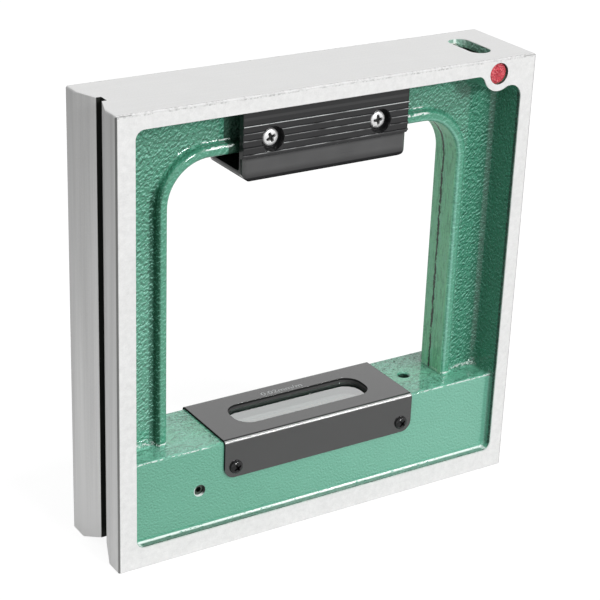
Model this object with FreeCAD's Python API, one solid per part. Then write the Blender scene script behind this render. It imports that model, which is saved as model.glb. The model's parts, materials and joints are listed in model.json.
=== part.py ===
import FreeCAD, Part
import math
import os

# Square frame level with a main vial in the bottom member and a cross vial in the top right corner.
# X runs to the right along the base, Y from the front face to the back and Z up, in millimetres.
# The origin is the middle of the base.

Vector = FreeCAD.Vector

# Frame casting
side = 200.0                      # outer width and height of the square
depth = 44.0                      # front face to back face
edge_chamfer = 0.6
rim_left = 8.3                    # the two grooved sides have a thicker rim
rim_bottom = 9.7
rim_right = 6.8
rim_top = 6.7
member_band = 21.3                # from a rim's inner side to the window
web_thickness = 9.0
bead_width = 4.7                  # raised bead round the window
bead_depth = 17.6
bead_edge_radius = 1.8
bead_root_radius = 1.6
window_corner_radius = 19.0
pocket_corner_radius = 4.0
pocket_floor_radius = 3.2
wall_step = 0.1                   # the rim is this much thicker beside the bottom member
block_height = 37.5               # bottom member above its rim
block_depth = 36.0
block_floor_radius = 1.2
block_edge_radius = 1.2

# V-grooves in the base and in the left side
groove_angle = 140.0
groove_width = 26.5
relief_width = 5.0
relief_depth = 6.0

# Cross vial, its bore and the slot over it
cross_bore_radius = 4.7
cross_bore_from_right = 19.5
cross_bore_from_top = 6.5
lug_wall = 2.9
lug_blend_radius = 3.6
lug_corner_radius = 6.0
top_slot_wall = 10.0              # from the front or rear face to the slot's end
top_slot_overlap = 0.4            # the slot is this much wider than the bore on each side
seal_thickness = 4.3
seal_recess = 0.7
cross_vial_play = 1.0             # vial end to seal
cross_vial_radius = 4.1
cross_vial_wall = 1.0
cross_bush_length = 2.8
cross_bubble_length = 8.0
cross_bubble_radius = 1.7

# Cover and its window
sheet = 1.0
cover_length = 96.4
cover_flap = 17.2
cover_bend_radius = 1.0
cover_corner_radius = 5.0
cover_window_length = 68.5
cover_window_width = 18.2
cover_window_radius = 7.5
cover_screw_inset = 5.5           # screw to the cover's end
cover_screw_rise = 4.9            # screw to the flap's lower edge
gasket_thickness = 1.2
gasket_border = 2.6
glass_thickness = 1.8

# Chamber for the main vial
cover_lap = 2.2                   # the cover rests on this much of the block at each end
chamber_width = 24.0
chamber_roof = 5.2
chamber_floor = 10.0              # metal between the relief slot and the chamber
chamber_end_radius = 4.0
fitting_room = 15.0               # the carrier slides this far left to drop into place

# Main vial, its tube and end plugs
tube_radius = 10.0
tube_wall = 1.2
tube_slot_margin = 2.0            # tube left whole past the vial's bushes
tube_slot_width = 13.0
swing_room = 1.7                  # tube to window glass
end_room = 1.5                    # end plug to the chamber's opening
shoulder = 2.5
spigot = 5.0
main_vial_radius = 7.5
main_vial_wall = 1.2
main_vial_play = 0.5              # vial end to plug
main_bubble_length = 24.0
main_bubble_radius = 3.0
stopper_length = 4.0
main_bush_length = 5.0
lock_screw_radius = 1.25
lock_screw_length = 4.0

# Pivot at the left end and adjuster at the right end
pivot_from_cover = 11.6
pivot_drop = 5.15                 # pivot axis under the tube's axis
pivot_screw_radius = 2.5
pivot_screw_recess = 1.2
pivot_arm_width = 16.0
pivot_arm_height = 9.0
cone_depth = 2.2
adjuster_from_cover = 8.5
tongue_width = 12.0
tongue_height = 5.0
tongue_overhang = 4.8
adjusting_radius = 2.0
adjusting_top = 8.7               # screw above the tongue
access_radius = 2.5
access_chamfer = 0.6
spring_wire = 0.8
spring_inner_radius = 2.7
spring_turns = 5.5
spring_sections = 12              # sections in each turn

# Hand grip on the top member
grip_length = 80.0
grip_depth = 28.0
grip_height = 31.6
grip_gap = 0.7                    # under the top rim
grip_boss_depth = 18.6            # front boss face to rear boss face on the web
grip_boss_radius = 5.5
grip_floor = 4.4
grip_band = 10.0                  # plain band under the ribs
grip_wall = 2.7
grip_pad_radius = 8.0             # pads inside, round the screws
grip_corner_radius = 5.0          # lower corners seen from the front
grip_end_radius = 2.5             # upright end edges of the plain band
grip_edge_radius = 1.5
grip_groove = 0.5                 # width and depth of the groove over the plain band
rib_count = 5
rib_pitch = 3.0
rib_height = 0.6
rib_width = 1.1
rib_margin = 0.5                  # lowest rib above the plain band
grip_screw_spacing = 52.0
grip_screw_drop = 15.3            # screw under the top rim
grip_bore_radius = 5.3
grip_bore_depth = 3.4

# Screws
small_screw_radius = 1.5
small_head_radius = 3.1
small_head_height = 1.7
small_screw_length = 5.0
large_screw_radius = 2.0
large_head_radius = 3.75
large_head_height = 2.0
large_screw_length = 8.5
cross_arm = 0.9                   # width of a cross recess arm
socket_share = 0.45               # hex socket across flats, as a share of the screw's diameter

# Clearances
fit = 0.05                        # threads, spigots and other close fits
cone_gap = 0.08                   # pivot point to its seat
hole_gap = 0.2                    # plain holes round a screw

# Places worked out from the sizes above
half_side = side / 2
half_depth = depth / 2
left_wall = rim_left - half_side
right_wall = half_side - rim_right
top_wall = side - rim_top
window_left = left_wall + member_band
window_right = right_wall - member_band
window_top = top_wall - member_band
block_top = rim_bottom + block_height
block_half = block_depth / 2
cross_x = half_side - cross_bore_from_right
cross_z = side - cross_bore_from_top
top_slot_half = half_depth - top_slot_wall
cross_vial_half = half_depth - seal_recess - seal_thickness - cross_vial_play
cover_half = cover_length / 2
chamber_half = chamber_width / 2
opening_half = cover_half - cover_lap
chamber_low = relief_depth + chamber_floor
chamber_high = block_top - chamber_roof
glass_low = block_top - gasket_thickness - glass_thickness
tube_z = glass_low - swing_room - tube_radius
tube_bore = tube_radius - tube_wall
plug_half = opening_half - end_room
tube_half = plug_half - shoulder
main_vial_half = tube_half - spigot - main_vial_play
main_bush_end = tube_half - spigot - fit
tube_slot_half = main_bush_end - main_bush_length - tube_slot_margin
pivot_x = -cover_half - pivot_from_cover
pivot_z = tube_z - pivot_drop
pivot_arm_half = pivot_arm_width / 2
adjuster_x = cover_half + adjuster_from_cover
tongue_top = pivot_z + tongue_height / 2
tongue_end = adjuster_x + tongue_overhang
chamber_left = pivot_x - pivot_arm_height / 2 - end_room - fitting_room
chamber_right = tongue_end + end_room
grip_top = top_wall - grip_gap
grip_bottom = grip_top - grip_height
grip_face = grip_depth / 2
grip_inner = grip_boss_depth / 2
grip_wall_face = grip_face - grip_wall
grip_screw_z = top_wall - grip_screw_drop
past = 1.0                        # cutting tools reach this far past a face


def box(low, high):
    """Box between its lowest and highest corners."""
    size = Vector(*high) - Vector(*low)
    return Part.makeBox(size.x, size.y, size.z, Vector(*low))


def rod(start, end, radius):
    """Round bar from start to end."""
    run = Vector(*end) - Vector(*start)
    return Part.makeCylinder(radius, run.Length, Vector(*start), run)


def cone(start, end, start_radius, end_radius):
    """Tapered bar from start to end."""
    run = Vector(*end) - Vector(*start)
    return Part.makeCone(start_radius, end_radius, run.Length, Vector(*start), run)


def joined(shapes):
    """One solid from touching or overlapping shapes."""
    first = shapes[0]
    return first.fuse(shapes[1:]).removeSplitter()


def apart(shapes):
    """Several solids kept apart in one shape."""
    return Part.makeCompound(shapes)


def both_faces(shape):
    """The shape and its mirror image at the other face of the frame."""
    return [shape, shape.mirror(Vector(0, 0, 0), Vector(0, 1, 0))]


def on_plane(plane, u, v):
    """Point with coordinates u and v on the xy, xz or yz plane."""
    points = {"xy": (u, v, 0), "xz": (u, 0, v), "yz": (0, u, v)}
    return Vector(*points[plane])


def outline(plane, corners):
    """Closed outline through corners (u, v, radius), each rounded by its radius."""
    edges = []
    ends = []
    count = len(corners)
    for index, (u, v, radius) in enumerate(corners):
        here = on_plane(plane, u, v)
        before = on_plane(plane, *corners[index - 1][:2]) - here
        after = on_plane(plane, *corners[(index + 1) % count][:2]) - here
        if radius == 0:
            ends.append((here, here))
            continue
        half_angle = before.getAngle(after) / 2
        reach = radius / math.tan(half_angle)
        before.normalize()
        after.normalize()
        inward = before + after
        inward.normalize()
        middle = here + inward * (radius / math.sin(half_angle) - radius)
        start = here + before * reach
        end = here + after * reach
        edges.append(Part.Arc(start, middle, end).toShape())
        ends.append((start, end))
    for index in range(count):
        start = ends[index - 1][1]
        end = ends[index][0]
        if (end - start).Length > fit / 10:
            edges.append(Part.LineSegment(start, end).toShape())
    return Part.Wire(Part.__sortEdges__(edges))


def prism(wire, start, run):
    """Solid made by moving a flat outline to start and pulling it along run."""
    face = Part.Face(wire)
    face.translate(Vector(*start))
    return face.extrude(Vector(*run))


def tablet(length, width, radius, low, high):
    """Upright plate with rounded corners, centred on the Z axis."""
    x = length / 2
    y = width / 2
    corners = [(-x, -y, radius), (x, -y, radius), (x, y, radius), (-x, y, radius)]
    return prism(outline("xy", corners), (0, 0, low), (0, 0, high - low))


def slot(length, width, centre, low, high):
    """Upright plate with round ends, long along Y, centred on a point of the top view."""
    run = (length - width) / 2
    ends = [Vector(0, -run, low), Vector(0, run, low)]
    parts = [Part.makeCylinder(width / 2, high - low, end) for end in ends]
    parts.append(box((-width / 2, -run, low), (width / 2, run, high)))
    shape = joined(parts)
    shape.translate(Vector(centre[0], centre[1], 0))
    return shape


def edges_where(shape, test):
    """Edges whose every sampled point passes the test."""
    found = []
    for edge in shape.Edges:
        if not edge.Degenerated and all(test(point) for point in edge.discretize(5)):
            found.append(edge)
    return found


def near(value, wanted):
    """True when two coordinates are the same place."""
    return abs(value - wanted) < fit


def deep_outline():
    """Inner side of the rim above the bottom member, with the lug round the cross bore at the top right."""
    lug = lug_wall + cross_bore_radius
    left = left_wall
    right = right_wall
    top = top_wall
    bottom = block_top
    corner_x = right - lug_corner_radius
    corner_z = cross_z - math.sqrt((lug + lug_corner_radius) ** 2 - (corner_x - cross_x) ** 2)
    blend_z = top - lug_blend_radius
    blend_x = cross_x - math.sqrt((lug + lug_blend_radius) ** 2 - (cross_z - blend_z) ** 2)
    to_corner = math.atan2(corner_z - cross_z, corner_x - cross_x)
    to_blend = math.atan2(blend_z - cross_z, blend_x - cross_x)

    def arc(x, z, radius, first, last):
        """Arc round a centre between two angles."""
        angles = (first, (first + last) / 2, last)
        places = [Vector(x + radius * math.cos(a), 0, z + radius * math.sin(a)) for a in angles]
        return Part.Arc(*places).toShape()

    radius = pocket_corner_radius
    turn = math.pi / 2
    edges = [
        arc(corner_x, corner_z, lug_corner_radius, 0, to_corner + math.pi),
        arc(cross_x, cross_z, lug, to_corner, to_blend),
        arc(blend_x, blend_z, lug_blend_radius, to_blend + math.pi, turn),
        arc(left + radius, top - radius, radius, turn, 2 * turn),
        arc(left + radius, bottom + radius, radius, 2 * turn, 3 * turn),
        arc(right - radius, bottom + radius, radius, 3 * turn, 4 * turn),
    ]
    straights = [
        ((blend_x, top), (left + radius, top)),
        ((left, top - radius), (left, bottom + radius)),
        ((left + radius, bottom), (right - radius, bottom)),
        ((right, bottom + radius), (right, corner_z)),
    ]
    for start, end in straights:
        edges.append(Part.LineSegment(on_plane("xz", *start), on_plane("xz", *end)).toShape())
    return Part.Wire(Part.__sortEdges__(edges))


def shallow_outline():
    """Inner side of the rim in front of the bottom member, up to the deep pocket's corners."""
    left = left_wall + wall_step
    right = right_wall - wall_step
    top = block_top + pocket_corner_radius
    radius = pocket_corner_radius
    return outline("xz", [(left, rim_bottom, radius), (right, rim_bottom, radius), (right, top, 0), (left, top, 0)])


def pocket_tool(wire, floor_y, floor_radius, highest):
    """Cutter from the front face down to a floor, whose edges below a height are rounded."""
    start = -half_depth - past
    tool = prism(wire, (0, start, 0), (0, floor_y - start, 0))
    floor = edges_where(tool, lambda point: near(point.y, floor_y))
    floor = [edge for edge in floor if edge.CenterOfMass.z < highest]
    return tool.makeFillet(floor_radius, floor)


def window_ring(width, foot):
    """Outline of the window, widened by width on three sides and started at the height of foot."""
    radius = window_corner_radius + width
    left = window_left - width
    right = window_right + width
    top = window_top + width
    return outline("xz", [(left, foot, 0), (right, foot, 0), (right, top, radius), (left, top, radius)])


def on_ring(point, width):
    """True on the outer side of the window outline widened by width, above the bottom member."""
    radius = window_corner_radius + width
    left = window_left - width
    right = window_right + width
    across = min(point.x - left, right - point.x)
    down = window_top + width - point.z
    if across > radius or down > radius:
        return near(min(across, down), 0)
    return near(math.hypot(radius - across, radius - down), radius)


def window_bead():
    """Raised bead on three sides of the window, with rounded edges and a rounded foot on the web."""
    low = block_top - chamber_roof / 2
    half = bead_depth / 2
    web = web_thickness / 2
    collar_width = bead_width + 2 * bead_root_radius
    bead = prism(window_ring(bead_width, low), (0, -half, 0), (0, bead_depth, 0))
    collar = prism(window_ring(collar_width, low), (0, -web, 0), (0, web_thickness, 0))
    inner = prism(window_ring(0, low - past), (0, -half - past, 0), (0, bead_depth + 2 * past, 0))
    ring = joined([bead, collar]).cut(inner)
    rims = edges_where(ring, lambda point: near(abs(point.y), half) and (
        on_ring(point, bead_width) or on_ring(point, 0)))
    ring = ring.makeFillet(bead_edge_radius, rims)
    roots = edges_where(ring, lambda point: near(abs(point.y), web) and on_ring(point, bead_width))
    return ring.makeFillet(bead_root_radius, roots)


def groove_tool(plane, start, run):
    """V-groove with a relief slot along its bottom, cut from a line at depth zero."""
    slope = math.radians((180 - groove_angle) / 2)
    relief = relief_width / 2
    meet = (groove_width / 2 - relief) * math.tan(slope)
    wide = groove_width / 2 + past / math.tan(slope)
    profile = [(-wide, -past), (-relief, meet), (-relief, relief_depth),
               (relief, relief_depth), (relief, meet), (wide, -past)]
    if plane == "xy":
        corners = [(inward, across, 0) for across, inward in profile]
    else:
        corners = [(across, inward, 0) for across, inward in profile]
    return prism(outline(plane, corners), start, run)


def chamber_tool():
    """Hollow for the vial carrier: a long cavity under the block's top, open under the cover."""
    cavity = box((chamber_left, -chamber_half, chamber_low), (chamber_right, chamber_half, chamber_high))
    uprights = edges_where(cavity, lambda point: near(abs(point.y), chamber_half))
    uprights = [edge for edge in uprights if near(edge.BoundBox.XLength, 0)]
    cavity = cavity.makeFillet(chamber_end_radius, uprights)
    opening = tablet(2 * opening_half, chamber_width, chamber_end_radius, chamber_low, block_top + past)
    return joined([cavity, opening])


def places_of_cover_screws():
    """Front view places of the cover screws."""
    z = block_top - cover_flap + cover_screw_rise
    return [(x, z) for x in (cover_screw_inset - cover_half, cover_half - cover_screw_inset)]


def places_of_grip_screws():
    """Front view places of the grip screws."""
    return [(x, grip_screw_z) for x in (-grip_screw_spacing / 2, grip_screw_spacing / 2)]


def casting_holes():
    """Every drilled hole in the casting."""
    holes = [rod((cross_x, -half_depth - past, cross_z), (cross_x, half_depth + past, cross_z),
                 cross_bore_radius)]
    for x, z in places_of_cover_screws():
        for way in (-1, 1):
            holes.append(rod((x, way * (block_half + past), z),
                             (x, way * (block_half - small_screw_length), z), small_screw_radius + fit))
    for x, z in places_of_grip_screws():
        holes.append(rod((x, -grip_inner - past, z), (x, grip_inner + past, z), large_screw_radius + fit))
    holes.append(rod((pivot_x, -block_half - past, pivot_z), (pivot_x, block_half + past, pivot_z),
                     pivot_screw_radius + fit))
    holes.append(rod((adjuster_x, 0, chamber_high - past), (adjuster_x, 0, block_top + past),
                     access_radius))
    holes.append(cone((adjuster_x, 0, block_top - access_chamfer), (adjuster_x, 0, block_top + past),
                      access_radius, access_radius + access_chamfer + past))
    return holes


def make_frame_casting():
    """Rim, web, bead, bottom block and bosses as one casting, with its grooves and bores."""
    block = box((-half_side, -half_depth, 0), (half_side, half_depth, side))
    block = block.makeChamfer(edge_chamfer, block.Edges)
    shallow = pocket_tool(shallow_outline(), -block_half, block_floor_radius, block_top)
    deep = pocket_tool(deep_outline(), -web_thickness / 2, pocket_floor_radius, side)
    window = prism(window_ring(0, block_top), (0, -half_depth, 0), (0, depth, 0))
    body = block.cut(both_faces(shallow) + both_faces(deep) + [window])
    front = edges_where(body, lambda point: near(abs(point.y), block_half) and near(point.z, block_top))
    body = body.makeFillet(block_edge_radius, front)
    bosses = [rod((x, -grip_inner, z), (x, grip_inner, z), grip_boss_radius)
              for x, z in places_of_grip_screws()]
    body = joined([body, window_bead()] + bosses)
    base = groove_tool("yz", (-half_side - past, 0, 0), (side + 2 * past, 0, 0))
    flank = groove_tool("xy", (-half_side, 0, -past), (0, 0, side + 2 * past))
    top_slot = slot(2 * top_slot_half, 2 * (cross_bore_radius + top_slot_overlap), (cross_x, 0),
                    cross_z, side + past)
    return body.cut([base, flank, top_slot, chamber_tool()] + casting_holes()).removeSplitter()


def cross_recess(radius, height, turn):
    """Cross-shaped cutter for a screw head that faces up, turned about its axis."""
    reach = 0.55 * radius
    deep = 0.6 * height
    arm = cross_arm / 2
    bars = [box((-reach, -arm, -deep), (reach, arm, past)), box((-arm, -reach, -deep), (arm, reach, past))]
    cutter = joined(bars)
    cutter.rotate(Vector(0, 0, 0), Vector(0, 0, 1), turn)
    return cutter


def hex_socket(radius, length):
    """Six-sided cutter going down from the origin."""
    across = 2 * radius * socket_share
    corner = across / math.sqrt(3)
    points = [Vector(corner * math.cos(math.radians(60 * k)), corner * math.sin(math.radians(60 * k)), 0)
              for k in range(6)]
    wire = Part.makePolygon(points + points[:1])
    return prism(wire, (0, 0, -length), (0, 0, length + past))


def pan_head_screw(radius, length, head_radius, head_height, turn):
    """Pan-head screw standing on the origin, head up, with a cross recess."""
    head = Part.makeCylinder(head_radius, head_height)
    crown = edges_where(head, lambda point: near(point.z, head_height))
    head = head.makeChamfer(0.4 * head_height, crown)
    shank = rod((0, 0, -length), (0, 0, past / 2), radius)
    recess = cross_recess(head_radius, head_height, turn)
    recess.translate(Vector(0, 0, head_height))
    return joined([head, shank]).cut(recess)


def faced(shape, x, y, z, way):
    """Turn an upright shape so that it points out of the front (-1) or the back (1)."""
    turned = shape.copy()
    turned.rotate(Vector(0, 0, 0), Vector(1, 0, 0), -way * 90)
    turned.translate(Vector(x, y, z))
    return turned


def make_cover_screws():
    """Four small pan-head screws in the flaps."""
    screws = []
    for way in (-1, 1):
        for index, (x, z) in enumerate(places_of_cover_screws()):
            screw = pan_head_screw(small_screw_radius, small_screw_length, small_head_radius,
                                   small_head_height, 30 + 15 * index)
            screws.append(faced(screw, x, way * (block_half + sheet), z, way))
    return apart(screws)


def make_grip_screws():
    """Four larger pan-head screws sunk in the grip."""
    screws = []
    for way in (-1, 1):
        for index, (x, z) in enumerate(places_of_grip_screws()):
            screw = pan_head_screw(large_screw_radius, large_screw_length, large_head_radius,
                                   large_head_height, 25 - 20 * index)
            screws.append(faced(screw, x, way * (grip_face - grip_bore_depth), z, way))
    return apart(screws)


def make_vial_cover():
    """Saddle of bent sheet with an oblong window and rounded flap corners."""
    inner = block_half
    outer = inner + sheet
    low = block_top - cover_flap
    high = block_top + sheet
    outside = cover_bend_radius + sheet
    section = outline("yz", [(-outer, low, 0), (-outer, high, outside), (outer, high, outside),
                             (outer, low, 0), (inner, low, 0), (inner, block_top, cover_bend_radius),
                             (-inner, block_top, cover_bend_radius), (-inner, low, 0)])
    cover = prism(section, (-cover_half, 0, 0), (cover_length, 0, 0))
    corners = edges_where(cover, lambda point: near(abs(point.x), cover_half) and near(point.z, low))
    cover = cover.makeFillet(cover_corner_radius, corners)
    cuts = [tablet(cover_window_length, cover_window_width, cover_window_radius, block_top - past, high + past)]
    for x, z in places_of_cover_screws():
        cuts.append(rod((x, -outer - past, z), (x, outer + past, z), small_screw_radius + hole_gap))
    return cover.cut(cuts)


def make_window_gasket():
    """Flat ring between the cover and the pane."""
    low = block_top - gasket_thickness
    outer = tablet(cover_window_length + 2 * gasket_border, cover_window_width + 2 * gasket_border,
                   cover_window_radius + gasket_border, low, block_top)
    return outer.cut(tablet(cover_window_length, cover_window_width, cover_window_radius,
                            low - past, block_top + past))


def make_window_glass():
    """Pane under the gasket."""
    return tablet(cover_window_length + 2 * gasket_border, cover_window_width + 2 * gasket_border,
                  cover_window_radius + gasket_border, glass_low, glass_low + glass_thickness)


def make_vial_tube():
    """Tube with a long viewing slot on top and holes for the lock screws below."""
    tube = rod((-tube_half, 0, tube_z), (tube_half, 0, tube_z), tube_radius)
    bore = rod((-tube_half - past, 0, tube_z), (tube_half + past, 0, tube_z), tube_bore)
    view = tablet(2 * tube_slot_half, tube_slot_width, tube_slot_width / 2 - fit, tube_z, tube_z + 2 * tube_radius)
    holes = [rod((x, 0, tube_z - tube_radius - past), (x, 0, tube_z), lock_screw_radius + fit)
             for x in places_of_lock_screws()]
    return tube.cut([bore, view] + holes)


def places_of_lock_screws():
    """Middle of each plug's spigot."""
    reach = tube_half - spigot / 2
    return [-reach, reach]


def make_plug_lock_screws():
    """Set screws through the tube's underside into the plugs."""
    low = tube_z - tube_radius + pivot_screw_recess / 4
    screws = []
    for x in places_of_lock_screws():
        screw = rod((x, 0, low), (x, 0, low + lock_screw_length), lock_screw_radius)
        socket = hex_socket(lock_screw_radius, lock_screw_radius)
        socket.rotate(Vector(0, 0, 0), Vector(1, 0, 0), 180)
        socket.translate(Vector(x, 0, low))
        screws.append(screw.cut(socket))
    return apart(screws)


def plug_body(way):
    """Spigot and shoulder of an end plug, at the left (-1) or right (1) end of the tube."""
    body = joined([rod((way * (tube_half - spigot), 0, tube_z), (way * tube_half, 0, tube_z), tube_bore - fit),
                   rod((way * tube_half, 0, tube_z), (way * plug_half, 0, tube_z), tube_radius)])
    x = way * (tube_half - spigot / 2)
    low = tube_z - tube_radius + pivot_screw_recess / 4
    hole = rod((x, 0, low - past), (x, 0, low + lock_screw_length + fit), lock_screw_radius + fit)
    return body, hole


def make_pivot_end_plug():
    """Left plug with the arm that rocks between the points of the pivot screws."""
    body, hole = plug_body(-1)
    half = pivot_arm_half
    half_height = pivot_arm_height / 2
    arm = box((pivot_x, -half, pivot_z - half_height), (-tube_half, half, pivot_z + half_height))
    nose = rod((pivot_x, -half, pivot_z), (pivot_x, half, pivot_z), half_height)
    seats = []
    seat_depth = cone_depth + cone_gap * math.sqrt(2)
    for way in (-1, 1):
        seats.append(cone((pivot_x, way * (half + past), pivot_z), (pivot_x, way * (half - seat_depth), pivot_z),
                          seat_depth + past, 0))
    return joined([body, arm, nose]).cut(seats + [hole])


def make_adjuster_end_plug():
    """Right plug with the tapped tongue."""
    body, hole = plug_body(1)
    half = tongue_width / 2
    low = tongue_top - tongue_height
    tongue = box((tube_half, -half, low), (tongue_end - half, half, tongue_top))
    nose = Part.makeCylinder(half, tongue_height, Vector(tongue_end - half, 0, low))
    thread = rod((adjuster_x, 0, low - past), (adjuster_x, 0, tongue_top + past), adjusting_radius + fit)
    return joined([body, tongue, nose]).cut([thread, hole])


def make_pivot_screws():
    """Pointed set screws, one from the front and one from the back."""
    screws = []
    length = block_half - pivot_screw_recess - pivot_arm_half + cone_depth
    straight = length - pivot_screw_radius
    for way in (-1, 1):
        body = rod((0, 0, -straight), (0, 0, 0), pivot_screw_radius)
        point = cone((0, 0, -straight), (0, 0, -length), pivot_screw_radius, 0)
        screw = joined([body, point]).cut(hex_socket(pivot_screw_radius, pivot_screw_radius))
        screws.append(faced(screw, pivot_x, way * (block_half - pivot_screw_recess), pivot_z, way))
    return apart(screws)


def make_adjusting_screw():
    """Upright set screw that stands on the chamber's floor and carries the tongue."""
    low = chamber_low + fit
    high = tongue_top + adjusting_top
    nose = adjusting_radius / 2
    body = rod((adjuster_x, 0, low + nose), (adjuster_x, 0, high), adjusting_radius)
    foot = cone((adjuster_x, 0, low), (adjuster_x, 0, low + nose), nose, adjusting_radius)
    socket = hex_socket(adjusting_radius, adjusting_radius)
    socket.translate(Vector(adjuster_x, 0, high))
    return joined([body, foot]).cut(socket)


def make_return_spring():
    """Compression spring between the chamber's roof and the tongue, lofted through even sections."""
    radius = spring_inner_radius + spring_wire / 2
    low = tongue_top + spring_wire / 2 + fit
    rise = chamber_high - spring_wire / 2 - fit - low
    count = round(spring_turns * spring_sections)
    rim = [math.radians(60 * k) for k in range(6)]
    sections = []
    for index in range(count + 1):
        turn = 2 * math.pi * index / spring_sections
        height = low + rise * index / count
        points = []
        for angle in rim:
            reach = radius + spring_wire / 2 * math.cos(angle)
            points.append(Vector(adjuster_x + reach * math.cos(turn), reach * math.sin(turn),
                                 height + spring_wire / 2 * math.sin(angle)))
        sections.append(Part.makePolygon(points + points[:1]))
    return Part.makeLoft(sections, True, True)


def capsule(start, end, radius):
    """Round bar with half-ball ends, measured over its ends."""
    run = Vector(*end) - Vector(*start)
    run.normalize()
    first = Vector(*start) + run * radius
    last = Vector(*end) - run * radius
    middle = Part.makeCylinder(radius, (last - first).Length, first, run)
    return joined([middle, Part.makeSphere(radius, first), Part.makeSphere(radius, last)])


def make_main_vial_glass():
    """Ground glass tube, closed and rounded at the left, open for its stopper at the right."""
    bore = main_vial_radius - main_vial_wall
    body = rod((-main_vial_half, 0, tube_z), (main_vial_half, 0, tube_z), main_vial_radius)
    end = edges_where(body, lambda point: near(point.x, -main_vial_half))
    body = body.makeChamfer(main_vial_wall, end)
    hollow = rod((-main_vial_half + 2 * main_vial_wall, 0, tube_z), (main_vial_half + past, 0, tube_z), bore)
    return body.cut(hollow)


def make_main_vial_stopper():
    """Ground stopper in the vial's right end."""
    bore = main_vial_radius - main_vial_wall
    return rod((main_vial_half - stopper_length, 0, tube_z), (main_vial_half, 0, tube_z), bore - fit)


def make_main_vial_spirit():
    """Filling of the main vial, with the bubble left out at the top."""
    bore = main_vial_radius - main_vial_wall - fit
    start = -main_vial_half + 2 * main_vial_wall + fit
    fill = rod((start, 0, tube_z), (main_vial_half - stopper_length - fit, 0, tube_z), bore)
    top = tube_z + bore - main_bubble_radius / 2
    half = main_bubble_length / 2
    return fill.cut(capsule((-half, 0, top), (half, 0, top), main_bubble_radius))


def make_main_vial_bushes():
    """Rings that set the vial in its tube."""
    bushes = []
    for way in (-1, 1):
        start = way * (main_bush_end - main_bush_length)
        end = way * main_bush_end
        outer = rod((start, 0, tube_z), (end, 0, tube_z), tube_bore - fit)
        bushes.append(outer.cut(rod((start - way * past, 0, tube_z), (end + way * past, 0, tube_z),
                                    main_vial_radius + fit)))
    return apart(bushes)


def along_cross_bore(start, end, radius):
    """Round bar on the axis of the cross bore."""
    return rod((cross_x, start, cross_z), (cross_x, end, cross_z), radius)


def make_cross_vial_glass():
    """Small sealed vial across the frame."""
    half = cross_vial_half
    bore = cross_vial_radius - cross_vial_wall
    body = along_cross_bore(-half, half, cross_vial_radius)
    ends = edges_where(body, lambda point: near(abs(point.y), half))
    body = body.makeChamfer(cross_vial_wall, ends)
    inner = half - 2 * cross_vial_wall
    return body.cut(along_cross_bore(-inner, inner, bore))


def make_cross_vial_spirit():
    """Filling of the cross vial, with its bubble left out at the top."""
    inner = cross_vial_half - 2 * cross_vial_wall - fit
    bore = cross_vial_radius - cross_vial_wall - fit
    top = cross_z + bore - cross_bubble_radius / 2
    half = cross_bubble_length / 2
    bubble = capsule((cross_x, -half, top), (cross_x, half, top), cross_bubble_radius)
    return along_cross_bore(-inner, inner, bore).cut(bubble)


def make_cross_vial_bushes():
    """Rings that set the cross vial in its bore."""
    start = top_slot_half
    ring = along_cross_bore(start, start + cross_bush_length, cross_bore_radius - fit)
    ring = ring.cut(along_cross_bore(start - past, start + cross_bush_length + past, cross_vial_radius + fit))
    return apart(both_faces(ring))


def make_bore_seal(way):
    """Wax seal in the front (-1) or rear (1) end of the cross bore."""
    outer = half_depth - seal_recess
    return along_cross_bore(way * (outer - seal_thickness), way * outer, cross_bore_radius - fit)


def grip_section():
    """Channel seen from its end, with a groove and ribs over the plain band on both outer faces."""
    band = grip_bottom + grip_band
    inner_floor = grip_bottom + grip_floor
    groove_floor = grip_face - grip_groove
    right = [(grip_face, grip_bottom, grip_edge_radius), (grip_face, band, 0), (groove_floor, band, 0),
             (groove_floor, band + grip_groove, 0), (grip_face, band + grip_groove, 0)]
    for index in range(rib_count):
        middle = band + grip_groove + rib_margin + rib_width / 2 + index * rib_pitch
        right += [(grip_face, middle - rib_width / 2, 0), (grip_face + rib_height, middle - rib_width / 4, 0),
                  (grip_face + rib_height, middle + rib_width / 4, 0), (grip_face, middle + rib_width / 2, 0)]
    right += [(grip_face, grip_top, 0), (grip_wall_face, grip_top, 0),
              (grip_wall_face, inner_floor, grip_edge_radius)]
    left = [(-y, z, radius) for y, z, radius in reversed(right)]
    return outline("yz", right + left)


def make_hand_grip():
    """Ribbed channel round the top member, with rounded lower corners, inner pads and sunk screw holes."""
    half = grip_length / 2
    grip = prism(grip_section(), (-half, 0, 0), (grip_length, 0, 0))
    radius = grip_corner_radius
    front = outline("xz", [(-half, grip_bottom, radius), (half, grip_bottom, radius),
                           (half, grip_top, 0), (-half, grip_top, 0)])
    grip = grip.common(prism(front, (0, -half_depth, 0), (0, depth, 0)))
    band = grip_bottom + grip_band
    ends = [(x, y, grip_end_radius) for x, y in ((-half, -grip_face), (half, -grip_face),
                                                 (half, grip_face), (-half, grip_face))]
    lower = grip.common(prism(outline("xy", ends), (0, 0, grip_bottom - past), (0, 0, grip_band + past)))
    upper = grip.common(box((-half, -half_depth, band), (half, half_depth, grip_top)))
    pads = []
    cuts = []
    for x, z in places_of_grip_screws():
        cuts.append(rod((x, -half_depth, z), (x, half_depth, z), large_screw_radius + hole_gap))
        for way in (-1, 1):
            pads.append(rod((x, way * grip_inner, z), (x, way * (grip_face - grip_groove), z), grip_pad_radius))
            cuts.append(rod((x, way * (grip_face - grip_bore_depth), z), (x, way * half_depth, z),
                            grip_bore_radius))
    return joined([lower, upper] + pads).cut(cuts)


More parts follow.
